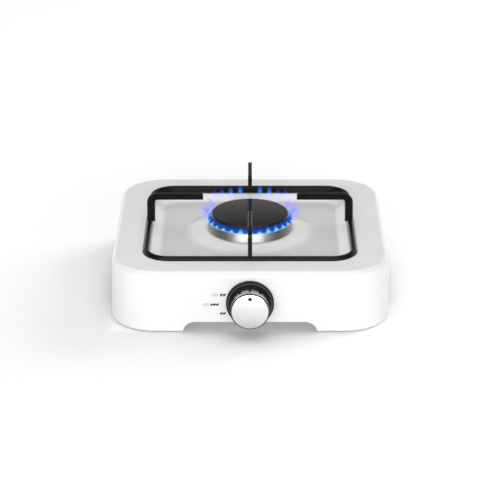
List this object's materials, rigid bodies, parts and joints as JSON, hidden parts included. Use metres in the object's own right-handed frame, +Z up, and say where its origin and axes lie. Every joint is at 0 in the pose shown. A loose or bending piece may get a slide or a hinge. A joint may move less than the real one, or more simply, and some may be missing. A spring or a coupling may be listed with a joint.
{
  "type": "portable gas stove",
  "caption": "Low tabletop gas stove with an enamelled body, recessed well, flame crown with cap, lift-off pan support and a push-and-turn gas tap knob on the front.",
  "frame": {"origin": "on the table under the centre of the burner and of the body", "axes": "+Z up, -Y to the front where the knob is, +X to the right seen from the front"},
  "size_m": [0.3, 0.328, 0.1045],
  "materials": {
    "white_enamel": "glossy white vitreous enamel",
    "black_enamel": "satin black enamel",
    "cap_enamel": "glossy black enamel",
    "cast_aluminium": "turned casting",
    "drawn_aluminium": "drawn tube",
    "zinc_steel": "zinc-plated sheet",
    "rubber": "matt",
    "tap_brass": "machined",
    "steel_pipe": "plated tube",
    "bright_steel": "bright",
    "black_plastic": "fine matt",
    "knob_metal": "satin",
    "dot_plastic": "matt"
  },
  "bodies": {
    "stove": {"body_shell": "white_enamel", "burner_cup": "cast_aluminium", "mixing_tube": "drawn_aluminium", "burner_bridge": "zinc_steel", "tap_bracket": "zinc_steel", "corner_gusset_front_left": "zinc_steel", "corner_gusset_front_right": "zinc_steel", "corner_gusset_rear_left": "zinc_steel", "corner_gusset_rear_right": "zinc_steel", "foot_front_left": "rubber", "foot_front_right": "rubber", "foot_rear_left": "rubber", "foot_rear_right": "rubber", "tap_body": "tap_brass", "tap_bonnet": "tap_brass", "injector": "tap_brass", "pipe_nut": "tap_brass", "gas_inlet": "tap_brass", "inlet_locknut": "tap_brass", "gas_pipe": "steel_pipe", "cup_screws": "bright_steel", "tap_screws": "bright_steel", "inlet_washer": "bright_steel", "knob_bezel": "black_plastic"},
    "tap_plug": {"tap_plug": "tap_brass"},
    "knob": {"tap_stem": "bright_steel", "knob_body": "black_plastic", "knob_face": "knob_metal", "pointer_dot": "dot_plastic", "knob_clip": "bright_steel", "tap_spring": "bright_steel"},
    "pan_support": {"pan_frame": "black_enamel", "finger_front": "black_enamel", "finger_rear": "black_enamel", "finger_left": "black_enamel", "finger_right": "black_enamel"},
    "burner_crown": {"burner_crown": "cast_aluminium"},
    "burner_cap": {"burner_cap": "cap_enamel"}
  },
  "joints": [
    {"name": "tap_turn", "type": "hinge", "parent": "stove", "child": "tap_plug", "pos_m": [0, -0.11, 0.0345], "axis": [0, -1, 0], "range_deg": [0, 120]},
    {"name": "knob_push", "type": "slide", "parent": "tap_plug", "child": "knob", "axis": [0, 1, 0], "range_m": [0, 0.0025], "stiffness_N_per_m": 1500, "springref_m": -0.002, "deforming": ["tap_spring"]},
    {"name": "pan_support_lift", "type": "slide", "parent": "stove", "child": "pan_support", "axis": [0, 0, 1], "range_m": [0, 0.06]},
    {"name": "crown_lift", "type": "slide", "parent": "stove", "child": "burner_crown", "axis": [0, 0, 1], "range_m": [0, 0.06]},
    {"name": "cap_lift", "type": "slide", "parent": "burner_crown", "child": "burner_cap", "axis": [0, 0, 1], "range_m": [0, 0.04]}
  ]
}
